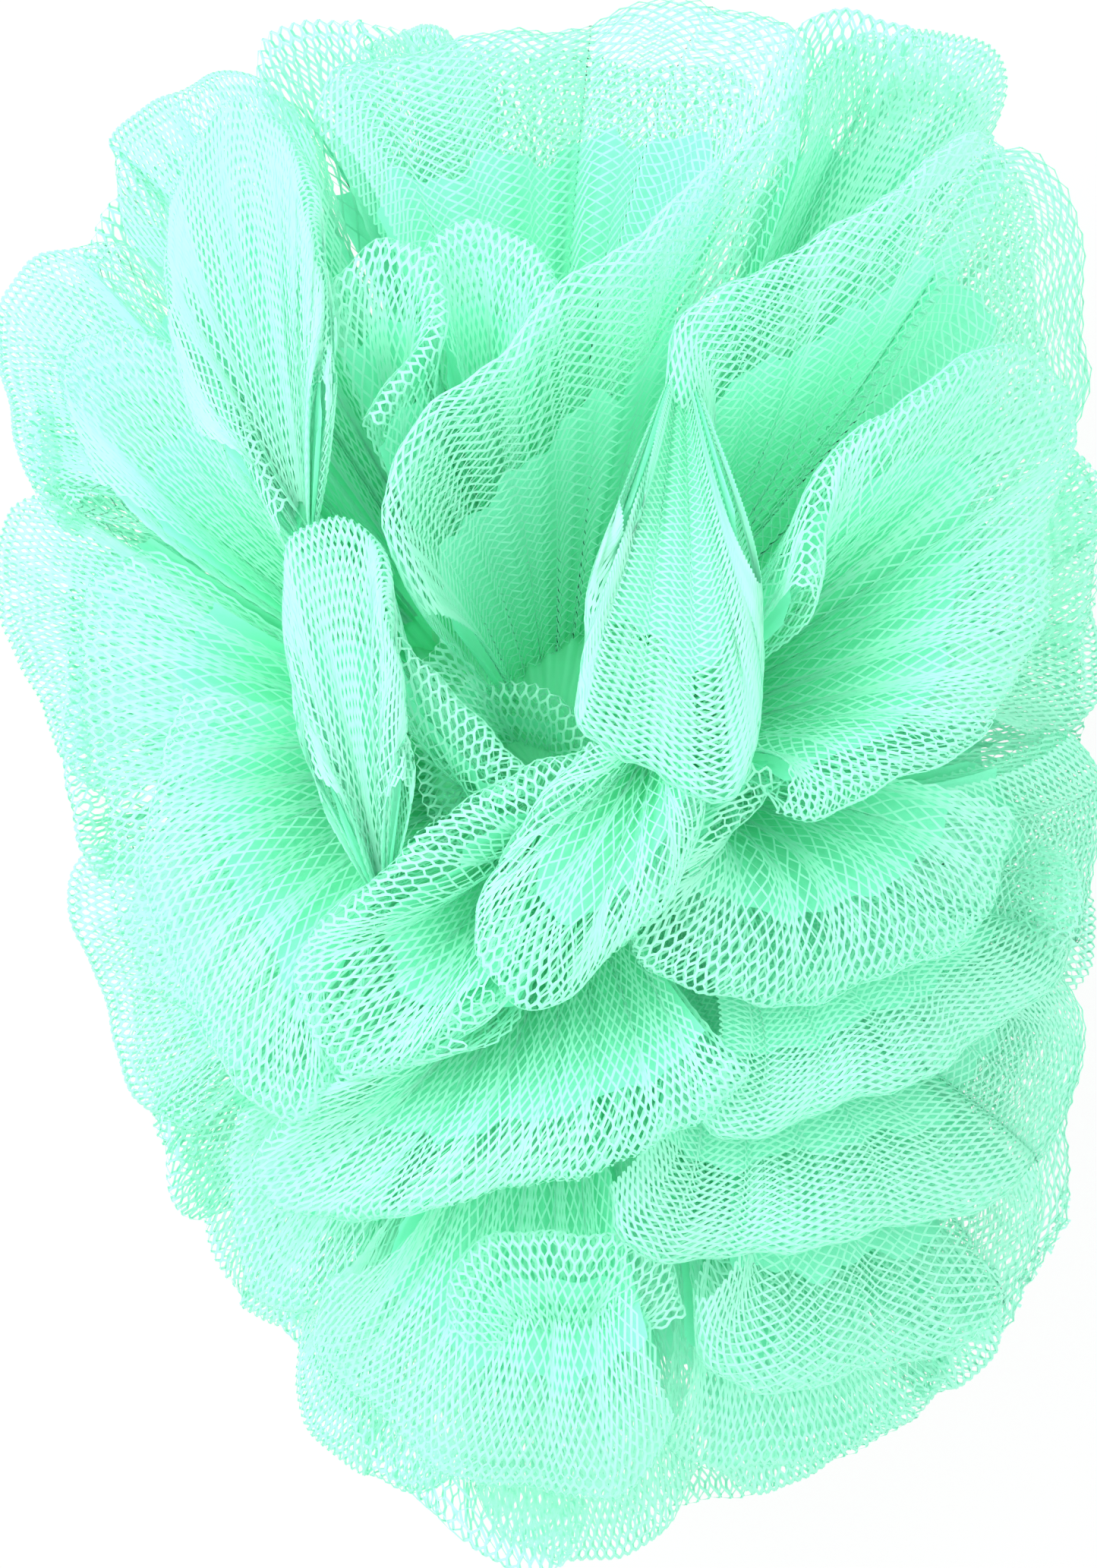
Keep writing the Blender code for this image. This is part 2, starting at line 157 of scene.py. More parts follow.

# The net's colours, from the palest threads to the deepest layers: the pale one is the plastic's own, the
# others are painted shade, darker and greener towards the gathers and the deep layers
PALE_MINT = (0.51, 0.995, 0.82)
THREAD_SHADE_MINT = (0.43, 0.995, 0.78)
LAYER_SHADE_MINT = (0.38, 0.995, 0.76)
DEEP_SHADE_MINT = (0.23, 0.99, 0.58)

# The net's surface: light that passes through, drifting tone, where painted shade gives way to pale, and
# grain with its depth in metres
LIGHT_PASSING = 0.4
CLOUD_SHARE = 0.2
CLOUD_SCALE = 60.0
CLOUD_DETAIL = 3.0
# Painted shade: below the first end a thread takes its shaded colour, above the second its pale one
SHADE_RAMP_ENDS = (0.30, 0.85)
GRAIN_SCALE = 2600.0
GRAIN_DEPTH = 0.0001
GRAIN_STRENGTH = 0.25
NET_ROUGHNESS = 0.42
NET_SPECULAR = 0.3
PLASTIC_IOR = 1.45

# The tie's cord, with the depth of its strands in metres
STRAND_SCALE = 180.0
STRAND_DISTORTION = 1.5
STRAND_DEPTH = 0.0002
STRAND_STRENGTH = 0.6
TIE_ROUGHNESS = 0.7
TIE_WHITE = (0.80, 0.82, 0.80)
TIE_SHADE = (0.62, 0.66, 0.63)

# The floor, and how white it looks to the camera
FLOOR_SIZE = 6000.0
FLOOR_DROP = 0.2
FLOOR_WHITE = 0.9
FLOOR_GREY = 0.8

# The light: an even surround and one large soft lamp, in metres and watts, and how often light may bounce
WORLD_STRENGTH = 1.4
LIGHT_BOUNCES = 7
KEY_PLACE = (-0.55, 0.35, 0.75)
KEY_SIZE = 0.6
KEY_POWER = 5.5

# The camera straight over the pouf: its height in metres, then the length it takes in and at what height
CAMERA_HEIGHT = 2.0
FRAMED_LENGTH = 167.5
FRAMED_HEIGHT = 50.0
SENSOR_HEIGHT = 36.0


@dataclass
class Ruffle:
    """One ruffle, in millimetres: its crest passes the plan points and its folds spread from its heart.

    Its crest lies by its sink inside the pouf's dome, and its bend by its depth further in. Puff and roll
    thicken its middle and its crest. One with a foot starts near its heart and not at the trunk.
    """

    name: str
    crest: tuple
    heart: tuple
    depth: float = HEART_DEPTH
    sink: float = 0.0
    puff: float = 1.0
    roll: float = POCKET
    foot: bool = False
    under: bool = False


def upper_ruffles():
    """The ruffles of the upper side, from the rim inwards."""
    return [
        Ruffle(
            "rim_north_west",
            ((-49, 61), (-46, 69), (-41, 74), (-33, 76), (-26, 75)),
            (-18, 36),
            sink=14,
        ),
        Ruffle("rim_north_bump", ((-25, 73), (-19, 79), (-12, 81), (-5, 78)), (-8, 40), sink=12),
        Ruffle("rim_north", ((-28, 74), (-7, 78), (13, 82), (23, 81), (31, 76)), (-2, 44), sink=3, roll=1.6),
        Ruffle("rim_north_east", ((28, 77), (34, 80), (42, 80), (49, 77), (51, 71)), (22, 48), sink=14),
        Ruffle("rim_east_upper", ((50, 73), (55, 62), (57, 50), (57, 36)), (28, 34), sink=6),
        Ruffle("rim_east", ((54, 42), (58, 30), (58, 16), (57, 2)), (28, 16), sink=14),
        Ruffle("rim_east_lower", ((58, 8), (58, -6), (57, -18), (54, -28)), (28, -8), sink=5),
        Ruffle("rim_south_east", ((57, -22), (55, -42), (51, -55), (46, -64)), (24, -30), sink=15),
        Ruffle("rim_south_right", ((47, -63), (37, -68), (26, -73), (17, -78)), (18, -38), sink=6),
        Ruffle("rim_south", ((18, -77), (10, -81), (0, -82), (-6, -79), (-10, -74)), (3, -44), sink=15),
        Ruffle("rim_south_left", ((-7, -76), (-17, -74), (-25, -69), (-29, -60)), (-8, -38), sink=6),
        Ruffle("rim_south_west", ((-28, -63), (-34, -52), (-39, -41), (-44, -31)), (-16, -28), sink=15),
        Ruffle("rim_west_lower", ((-40, -40), (-46, -27), (-50, -13), (-50, -3)), (-24, -16), sink=6),
        Ruffle("rim_west", ((-49, -4), (-54, 8), (-58, 19), (-58, 29), (-54, 35)), (-26, 14), sink=13),
        Ruffle("rim_west_upper", ((-54, 28), (-57, 38), (-58, 48), (-55, 56), (-48, 61)), (-26, 32), sink=5),
        Ruffle(
            "west_roll",
            ((-38, -28), (-43, -16), (-46, 0), (-48, 15), (-46, 27)),
            (-18, 6),
            sink=3,
            depth=4,
            roll=1.8,
        ),
        Ruffle(
            "west_fan",
            ((-28, 32), (-34, 41), (-42, 47), (-51, 45), (-52, 36)),
            (-24, 12),
            sink=2,
            depth=5,
        ),
        Ruffle(
            "west_lobe",
            ((-38, 10), (-41, -8), (-37, -21), (-31, -31), (-25, -33), (-22, -27)),
            (-22, 8),
            depth=2,
            roll=2.0,
        ),
        Ruffle(
            "leaf",
            ((-38, 40), (-40, 54), (-38, 65), (-33, 71), (-27, 67), (-24, 57), (-24, 44)),
            (-25, 24),
            depth=0,
            foot=True,
            roll=1.2,
        ),
        Ruffle(
            "loop_west",
            ((-24, 54), (-18, 57), (-13, 54), (-12, 46), (-18, 38)),
            (-21, 36),
            sink=2,
            depth=9,
        ),
        Ruffle("loop_north", ((-14, 49), (-12, 56), (-6, 58), (0, 55), (2, 49)), (-8, 38), sink=2, depth=9),
        Ruffle(
            "flap",
            ((-25, 3), (-27, 14), (-27, 24), (-22, 27), (-18, 25), (-16, 14), (-15, 3)),
            (-17, -14),
            depth=0,
            foot=True,
            roll=0.9,
        ),
        Ruffle(
            "centre_face",
            ((29, 76), (20, 66), (10, 58), (3, 52), (-7, 43), (-15, 34), (-17, 27), (-14, 20)),
            (2, 5),
            depth=24,
        ),
        Ruffle(
            "centre_left",
            ((-19, 26), (-17, 18), (-11, 9), (-5, 4), (0, 1)),
            (-14, -8),
            sink=4,
            depth=4,
        ),
        Ruffle(
            "east_sheet",
            ((52, 71), (42, 66), (33, 59), (21, 52), (14, 48), (11, 42)),
            (28, 26),
            sink=1,
            depth=10,
            roll=1.4,
        ),
        Ruffle(
            "triangle",
            ((7, 24), (3, 9), (7, 4), (12, 1), (17, -1), (21, 3), (23, 18)),
            (14, 46),
            sink=-2,
            depth=0,
            foot=True,
            roll=0.9,
        ),
        Ruffle(
            "east_lobe",
            (
                (26, 21), (29, 31), (35, 38), (43, 43), (51, 45), (54, 37),
                (52, 25), (49, 12), (42, 4), (33, 0), (24, -4),
            ),
            (25, 11),
            sink=-1,
            depth=2,
            roll=1.6,
        ),
        Ruffle(
            "south_east_roll",
            ((20, 0), (11, -9), (11, -16), (19, -21), (31, -20), (43, -14), (50, -4)),
            (34, 6),
            sink=3,
            depth=2,
            roll=2.2,
        ),
        Ruffle(
            "tongue",
            ((4, 3), (-4, -7), (-7, -15), (-5, -20), (0, -22), (5, -19), (11, -12), (17, -2)),
            (12, 6),
            depth=-2,
            foot=True,
            roll=1.4,
        ),
        Ruffle(
            "centre_lobe",
            ((4, 3), (-6, -2), (-18, -11), (-24, -17), (-24, -24), (-20, -29), (-14, -28), (-6, -23)),
            (3, -9),
            sink=1,
            depth=1,
            roll=2.0,
        ),
        Ruffle(
            "south_lobe",
            ((-12, -26), (-22, -31), (-29, -37), (-28, -43), (-20, -45), (-6, -42), (10, -37), (21, -30)),
            (10, -22),
            sink=2,
            depth=1,
            roll=1.8,
        ),
        Ruffle(
            "east_band",
            ((58, 8), (58, -8), (54, -19), (46, -26), (33, -32), (21, -36), (12, -37)),
            (34, -12),
            sink=4,
            depth=3,
            roll=1.4,
        ),
        Ruffle(
            "south_band",
            ((57, -20), (55, -34), (49, -42), (40, -45), (28, -47), (15, -49), (3, -45)),
            (30, -22),
            sink=5,
            depth=3,
            roll=1.6,
        ),
        Ruffle(
            "south_fold",
            ((-12, -56), (-9, -51), (-2, -48), (6, -48), (12, -51), (16, -55)),
            (2, -62),
            sink=6,
            depth=0,
            foot=True,
            roll=1.2,
        ),
        Ruffle(
            "south_tube",
            ((54, -42), (49, -53), (41, -59), (27, -62), (17, -61), (14, -56)),
            (34, -32),
            sink=5,
            depth=3,
            roll=1.8,
        ),
        Ruffle(
            "south_face",
            ((-27, -54), (-21, -64), (-10, -72), (3, -75), (15, -71)),
            (2, -40),
            sink=3,
            depth=-8,
        ),
        Ruffle(
            "south_right_face",
            ((52, -54), (44, -63), (33, -69), (21, -72), (10, -72)),
            (26, -42),
            sink=6,
            depth=4,
        ),
        Ruffle(
            "south_west_face",
            ((-34, -34), (-33, -46), (-29, -55), (-22, -58)),
            (-14, -30),
            sink=5,
            depth=4,
        ),
        Ruffle("deep_east", ((13, 22), (19, 12), (20, 1), (14, -8)), (4, 6), sink=13),
        Ruffle("deep_west", ((-4, -11), (-11, -4), (-14, 7), (-12, 17)), (-1, 3), sink=16),
        Ruffle("deep_middle", ((-9, 11), (-2, 9), (5, 4), (10, -2)), (0, 0), sink=22),
    ]


def under_ruffles():
    """The ruffles of the under side, in rings that slant so that each overlaps the next."""
    ruffles = []
    for ring, (share, number, first, slant, sinks) in enumerate(UNDER_RINGS):
        for index in range(number):
            middle = first + 360.0 * index / number
            crest = []
            for point in range(UNDER_POINTS):
                along = 2.0 * point / (UNDER_POINTS - 1) - 1.0
                bearing = math.radians(middle + along * UNDER_OVERLAP * 180.0 / number)
                far = reach(bearing) * (share + slant * along)
                crest.append((far * math.cos(bearing), far * math.sin(bearing)))
            far = reach(math.radians(middle)) * share * UNDER_HEART
            heart = (far * math.cos(math.radians(middle)), far * math.sin(math.radians(middle)))
            name = f"under_{ring}_{index}"
            sink = sinks[index % len(sinks)]
            ruffles.append(Ruffle(name, tuple(crest), heart, sink=sink, puff=UNDER_PUFF, under=True))
    return ruffles


def catmull_rom(before, start, end, after, part):
    """The smooth value between the middle two of four neighbours."""
    slope_in = 0.5 * (end - before)
    slope_out = 0.5 * (after - start)
    square = part * part
    cube = square * part
    return (
        (2 * cube - 3 * square + 1) * start
        + (cube - 2 * square + part) * slope_in
        + (3 * square - 2 * cube) * end
        + (cube - square) * slope_out
    )


def reach(bearing):
    """How far the outline lies from the waist at a bearing in radians."""
    values = np.array(REACH, dtype=float)
    place = (np.asarray(bearing) / (2 * math.pi)) % 1.0 * len(values)
    first = np.floor(place).astype(int)
    near = [values[(first + step) % len(values)] for step in (-1, 0, 1, 2)]
    return catmull_rom(*near, place - first)


def dome_height(x, y, under):
    """The height of the pouf's domed surface over plan points."""
    share = np.hypot(x, y) / reach(np.arctan2(y, x))
    lift = np.maximum(0.0, 1.0 - share**DOME_POWER) ** (1.0 / DOME_POWER)
    return WAIST_HEIGHT + (-UNDER_DROP if under else CROWN_RISE) * lift


def crest_line(points, step):
    """A smooth line through plan points, in even steps, with the distance along it."""
    padded = np.array([points[0], *points, points[-1]], dtype=float)
    part = np.linspace(0.0, 1.0, CURVE_STEPS, endpoint=False)[:, None]
    fine = [catmull_rom(*padded[index:index + 4], part) for index in range(len(points) - 1)]
    fine = np.vstack(fine + [padded[-1:]])
    along = np.concatenate(([0.0], np.cumsum(np.linalg.norm(np.diff(fine, axis=0), axis=1))))
    places = np.linspace(0.0, along[-1], max(4, round(along[-1] / step)) + 1)
    line = np.column_stack([np.interp(places, along, fine[:, axis]) for axis in (0, 1)])
    return line, places


def waves(sizes, places, random):
    """The sum of a few waves of given depth and length along a line, each from a random start."""
    total = np.zeros_like(places)
    for depth, length in sizes:
        total += depth * np.sin(2 * math.pi * places / length + random.uniform(0, 2 * math.pi))
    return total


def unit(vectors):
    """Vectors at length one."""
    return vectors / np.maximum(np.linalg.norm(vectors, axis=-1, keepdims=True), 1e-9)


def grid_normals(grid):
    """The unit normal at each point of a grid."""
    return unit(np.cross(np.gradient(grid, axis=0), np.gradient(grid, axis=1)))


def ruffle_sheet(ruffle, index, parts):
    """The middle surface of one ruffle, a grid from its root rows out to its crest row."""
    random = np.random.default_rng(SEED + index)
    line, places = crest_line(ruffle.crest, GRID_STEP)
    side = -1.0 if ruffle.under else 1.0
    heart = np.array(ruffle.heart, dtype=float)
    height = dome_height(line[:, 0], line[:, 1], ruffle.under) - side * ruffle.sink
    crest = np.column_stack([line, height])
    neck = heart + HEART_SHARE * (line - heart)
    neck_height = dome_height(neck[:, 0], neck[:, 1], ruffle.under) - side * (ruffle.sink + ruffle.depth)
    bend = np.column_stack([neck, neck_height])
    from_end = np.minimum(places, places[-1] - places) / END_LENGTH
    share = END_SHARE + (1.0 - END_SHARE) * np.sin(0.5 * math.pi * np.minimum(1.0, from_end))
    outward = unit(crest - bend)
    crest = bend + share[:, None] * (crest - bend) + waves(CREST_WAVES, places, random)[:, None] * outward
    root = np.column_stack([ROOT_SHARE * neck, np.full(len(line), WAIST_HEIGHT + side * ROOT_RISE)])
    if ruffle.foot:
        foot = heart + FOOT_SHARE * (line - heart)
        foot_height = dome_height(foot[:, 0], foot[:, 1], ruffle.under) - side * (ruffle.sink + FOOT_DEPTH)
        root = np.column_stack([foot, foot_height])
    t = parts[None, :, None]
    sheet = (1 - t) ** 2 * root[:, None] + 2 * t * (1 - t) * bend[:, None] + t**2 * crest[:, None]
    normals = grid_normals(sheet)
    flute = FLUTE_DEPTH * np.sin(2 * math.pi * places / FLUTE_LENGTH + index)
    pleat = waves(PLEATS, places, random)
    lift = flute[:, None] * parts**2 + pleat[:, None] * np.sin(math.pi * parts) ** PLEAT_POWER
    return sheet + lift[:, :, None] * normals


def ruffle_skin(ruffle, index, start):
    """The net's surface round one ruffle: from the root up its front, over the crest and down its back."""
    parts = start + (1.0 - start) * np.linspace(0.0, 1.0, FACE_ROWS) ** ROW_SPREAD
    sheet = ruffle_sheet(ruffle, index, parts)
    normals = grid_normals(sheet)
    edge = ruffle.roll * (ROOT_THIN + (1.0 - ROOT_THIN) * parts)
    swell = edge + ruffle.puff * parts * (1.0 - parts**PUFF_POWER)
    offset = normals * swell[None, :, None]
    outward = unit(sheet[:, -1] - sheet[:, -2])
    turn = np.linspace(0.0, math.pi, CREST_ROWS + 2)[1:-1]
    arc = (
        sheet[:, -1, None]
        + normals[:, -1, None] * swell[-1] * np.cos(turn)[None, :, None]
        + outward[:, None] * swell[-1] * np.sin(turn)[None, :, None]
    )
    skin = np.concatenate([sheet + offset, arc, (sheet - offset)[:, ::-1]], axis=1)
    return pressed_flat(even_rows(skin))


def pressed_flat(surface):
    """A surface whose lowest parts lie flat on the floor, one close over the other."""
    height = surface[..., 2]
    low = FLOOR_GAP + FLOOR_STACK * np.exp((height - FLOOR_GAP - FLOOR_STACK) / FLOOR_SOFTNESS)
    surface[..., 2] = np.where(height < FLOOR_GAP + FLOOR_STACK, low, height)
    return surface


def even_rows(skin):
    """The same surface with its rows at even distances along each column."""
    rows = skin.shape[1]
    steps = np.linalg.norm(np.diff(skin, axis=1), axis=2)
    along = np.concatenate([np.zeros((len(skin), 1)), np.cumsum(steps, axis=1)], axis=1)
    result = np.empty_like(skin)
    for column in range(len(skin)):
        places = np.linspace(0.0, along[column, -1], rows)
        for axis in range(3):
            result[column, :, axis] = np.interp(places, along[column], skin[column, :, axis])
    return result


def sample(grid, across, upward):
    """Values of a grid at fractional places, each from 0 to 1 along its two sides."""
    column = np.clip(across, 0.0, 1.0) * (grid.shape[0] - 1)
    row = np.clip(upward, 0.0, 1.0) * (grid.shape[1] - 1)
    left = np.minimum(column.astype(int), grid.shape[0] - 2)
    below = np.minimum(row.astype(int), grid.shape[1] - 2)
    u = (column - left)[..., None]
    v = (row - below)[..., None]
    return (
        (1 - u) * (1 - v) * grid[left, below]
        + u * (1 - v) * grid[left + 1, below]
        + (1 - u) * v * grid[left, below + 1]
        + u * v * grid[left + 1, below + 1]
    )


def thread_path(length, round_zone):
    """Places along a thread, from 0 to 1, and how far it swings aside there, from -1 to 1."""
    swings = max(LEAST_SWINGS, 2 * round(length / CELL_LENGTH))
    places = []
    sides = []
    for swing in range(swings + 1):
        near_crest = abs(swing / swings - 0.5) * length < round_zone
        for shift in (-CELL_ROUND, CELL_ROUND) if near_crest else (0.0,):
            places.append((swing + shift) / swings)
            sides.append(1.0 if swing % 2 == 0 else -1.0)
    return np.clip(places, 0.0, 1.0), np.array(sides)


def ribbon_faces(threads, points):
    """The faces of ribbons that have a pair of corners at each of their points."""
    first = (np.arange(threads)[:, None] * points + np.arange(points - 1)[None, :]) * 2
    return np.stack([first, first + 2, first + 3, first + 1], axis=2).reshape(-1, 4)


def grid_faces(columns, rows):
    """The faces of a grid of corners, listed column by column."""
    first = np.arange(columns - 1)[:, None] * rows + np.arange(rows - 1)[None, :]
    return np.stack([first, first + rows, first + rows + 1, first + 1], axis=2).reshape(-1, 4)


def net_threads(skin, density, along, closeness):
    """The threads of the net on one surface, as narrow ribbons: corners, faces, normals, and a share that
    narrows the threads and paints them in shade towards their roots.

    The threads run up the skin and over its crest, or along the crest. Closeness narrows their cells.
    """
    normals = grid_normals(skin)
    if along:
        skin = skin.transpose(1, 0, 2)
        normals = normals.transpose(1, 0, 2)
    breadth = np.linalg.norm(np.diff(skin[:, skin.shape[1] // 2], axis=0), axis=1).sum()
    length = np.linalg.norm(np.diff(skin[len(skin) // 2], axis=0), axis=1).sum()
    threads = max(LEAST_THREADS, 2 * round(breadth * density * closeness / CELL_WIDTH))
    path, swing = thread_path(length * density, 0.0 if along else ROUND_ZONE)
    points = len(path)

    number = np.arange(threads)
    side = np.where(number % 2 == 0, 1.0, -1.0)
    across = (number[:, None] + 0.5 + 0.5 * side[:, None] * swing[None, :]) / threads
    upward = np.broadcast_to(path, across.shape)

    places = sample(skin, across, upward)
    facing = unit(sample(normals, across, upward))
    run = unit(np.gradient(places, axis=1))
    lateral = unit(np.cross(facing, run))
    tilt = side[:, None, None] * math.sin(TWIST)
    # Open at the crest, closed at both roots: this share narrows the threads and also sets their painted
    # shade, darker towards the roots
    open_and_lit_share = 1.0 - np.abs(2.0 * (across if along else upward) - 1.0)
    width = THREAD_WIDTH * (ROOT_THREAD + (1.0 - ROOT_THREAD) * open_and_lit_share[:, :, None])
    half = 0.5 * width * (lateral * math.cos(TWIST) + facing * tilt)
    corners = np.stack([places - half, places + half], axis=2)

    corner_normals = np.repeat(facing[:, :, None], 2, axis=2)
    faces = ribbon_faces(threads, points)
    return corners.reshape(-1, 3), faces, corner_normals.reshape(-1, 3), np.repeat(open_and_lit_share, 2)


def frayed_threads(ruffle, index):
    """Short loose threads at the lower end of one crest, where the net was cut, as narrow ribbons."""
    random = np.random.default_rng(SEED)
    sheet = ruffle_sheet(ruffle, index, np.linspace(0.0, 1.0, FACE_ROWS))
    roots = (random.uniform(FRAY_START, 1.0, FRAY_THREADS) * (len(sheet) - 1)).astype(int)
    lengths = random.uniform(*FRAY_LENGTHS, FRAY_THREADS)
    leans = random.uniform(-FRAY_LEAN, FRAY_LEAN, FRAY_THREADS)
    facing = grid_normals(sheet)[roots, -1]
    outward = unit(sheet[roots, -1] - sheet[roots, -2])
    lateral = unit(np.cross(facing, outward))
    along = np.linspace(0.0, 1.0, FRAY_POINTS)
    run = outward + leans[:, None] * lateral
    curl = FRAY_CURL * np.sin(math.pi * along)[None, :] * leans[:, None]
    places = sheet[roots, -1][:, None] + (lengths[:, None] * along)[:, :, None] * run[:, None]
    places = places + curl[:, :, None] * facing[:, None]
    half = np.broadcast_to(0.5 * THREAD_WIDTH * lateral[:, None], places.shape)
    corners = np.stack([places - half, places + half], axis=2)
    normals = np.broadcast_to(facing[:, None, None], corners.shape)
    faces = ribbon_faces(FRAY_THREADS, FRAY_POINTS)
    return corners.reshape(-1, 3), faces, normals.reshape(-1, 3), np.ones(corners.size // 3)


def add_mesh(name, corners, faces, normals=None, painted_lightness=None):
    """A mesh object in metres from corners in millimetres."""
    data = bpy.data.meshes.new(name)
    data.from_pydata((corners * MM).tolist(), [], faces.tolist())
    if normals is not None:
        data.polygons.foreach_set("use_smooth", np.ones(len(data.polygons), dtype=bool))
        data.normals_split_custom_set_from_vertices(normals.tolist())
    # The painted lightness: low where the colour is painted in shade, high where it is pale
    if painted_lightness is not None:
        data.attributes.new("painted_lightness", "FLOAT", "POINT").data.foreach_set("value", painted_lightness)
    thing = bpy.data.objects.new(name, data)
    bpy.context.scene.collection.objects.link(thing)
    return thing


def joined(parts):
    """Several sets of corners, faces, normals and painted lightness as one."""
    corners = np.vstack([part[0] for part in parts])
    normals = np.vstack([part[2] for part in parts])
    starts = np.cumsum([0] + [len(part[0]) for part in parts[:-1]])
    faces = np.vstack([part[1] + start for part, start in zip(parts, starts)])
    return corners, faces, normals, np.concatenate([part[3] for part in parts])


def painted_lightness_for(ruffle, open_and_lit_share):
    """How light the net is painted, from painted shade at its gathers to pale at its crest: taut net gets
    less painted shade down to its gathers.
    """
    if ruffle.name in TAUT:
        return TAUT_SHADE_LIFT + (1.0 - TAUT_SHADE_LIFT) * open_and_lit_share
    return open_and_lit_share


def net_pieces(ruffles):
    """All the net's threads, gathered into a few meshes."""
    pieces = []
    parts = []
    count = 0
    for index, ruffle in enumerate(ruffles):
        density, start = UNDER_NET if ruffle.under else UPPER_NET
        skin = ruffle_skin(ruffle, index, FOOT_START if ruffle.foot else start)
        closeness = TAUT_CLOSENESS if ruffle.name in TAUT else 1.0
        *part, open_and_lit_share = net_threads(skin, density, ruffle.name in ALONG, closeness)
        part = (*part, painted_lightness_for(ruffle, open_and_lit_share))
        if count + len(part[1]) > FACES_IN_ONE_PIECE:
            pieces.append(joined(parts))
            parts = []
            count = 0
        parts.append(part)
        count += len(part[1])
        if ruffle.name in FRAYED:
            parts.append(frayed_threads(ruffle, index))
    pieces.append(joined(parts))
    return pieces


def lining(ruffles):
    """The layers of net that lie deepest in each ruffle, as one surface with an uneven outer edge, painted
    in shade that darkens towards the roots.
    """
    parts = []
    for index, ruffle in enumerate(ruffles):
        random = np.random.default_rng(SEED + index)
        whole = ruffle_sheet(ruffle, index, np.linspace(0.0, 1.0, FACE_ROWS))
        columns = len(whole)
        ends = LINING_END + waves(LINING_WAVES, GRID_STEP * np.arange(columns), random)
        upward = ends[:, None] * np.linspace(0.0, 1.0, LINING_ROWS)[None, :]
        across = np.broadcast_to(np.linspace(0.0, 1.0, columns)[:, None], upward.shape)
        sheet = pressed_flat(sample(whole, across, upward))
        normals = grid_normals(sheet).reshape(-1, 3)
        # Painted shade: the layers are coloured darker towards the root of each ruffle
        open_and_lit_share = painted_lightness_for(ruffle, upward.reshape(-1))
        parts.append((sheet.reshape(-1, 3), grid_faces(columns, LINING_ROWS), normals, open_and_lit_share))
    parts.append(trunk_surface())
    return joined(parts)


def trunk_surface():
    """The gathered middle of the net, drawn in under the tie, with fine pleats all round."""
    turn = np.linspace(-1.0, 1.0, TRUNK_ROWS)
    swell = np.sin(0.5 * math.pi * np.minimum(1.0, np.abs(turn) / TRUNK_WIDEST))
    close = np.cos(0.5 * math.pi * np.clip((np.abs(turn) - TRUNK_WIDEST) / (1.0 - TRUNK_WIDEST), 0.0, 1.0))
    radius = (NECK_RADIUS + (TRUNK_RADIUS - NECK_RADIUS) * swell) * close**0.5
    height = WAIST_HEIGHT + TRUNK_REACH * turn
    bearing = np.linspace(0.0, 2 * math.pi, TRUNK_COLUMNS + 1)
    pleat = 1.0 + TRUNK_PLEAT * np.cos(TRUNK_PLEATS * bearing)[:, None] * swell[None, :]
    x = radius[None, :] * pleat * np.cos(bearing)[:, None]
    y = radius[None, :] * pleat * np.sin(bearing)[:, None]
    surface = np.stack([x, y, np.broadcast_to(height, x.shape)], axis=2)
    faces = grid_faces(TRUNK_COLUMNS + 1, TRUNK_ROWS)
    # Painted shade: the whole gathered middle takes the darkest colour
    open_and_lit_share = np.zeros(surface.shape[0] * surface.shape[1])
    return surface.reshape(-1, 3), faces, grid_normals(surface).reshape(-1, 3), open_and_lit_share


def new_material(name):
    """A material with its emptied node tree and the tree's output node."""
    material = bpy.data.materials.new(name)
    material.use_nodes = True
    tree = material.node_tree
    tree.nodes.clear()
    output = tree.nodes.new("ShaderNodeOutputMaterial")
    return material, tree, output


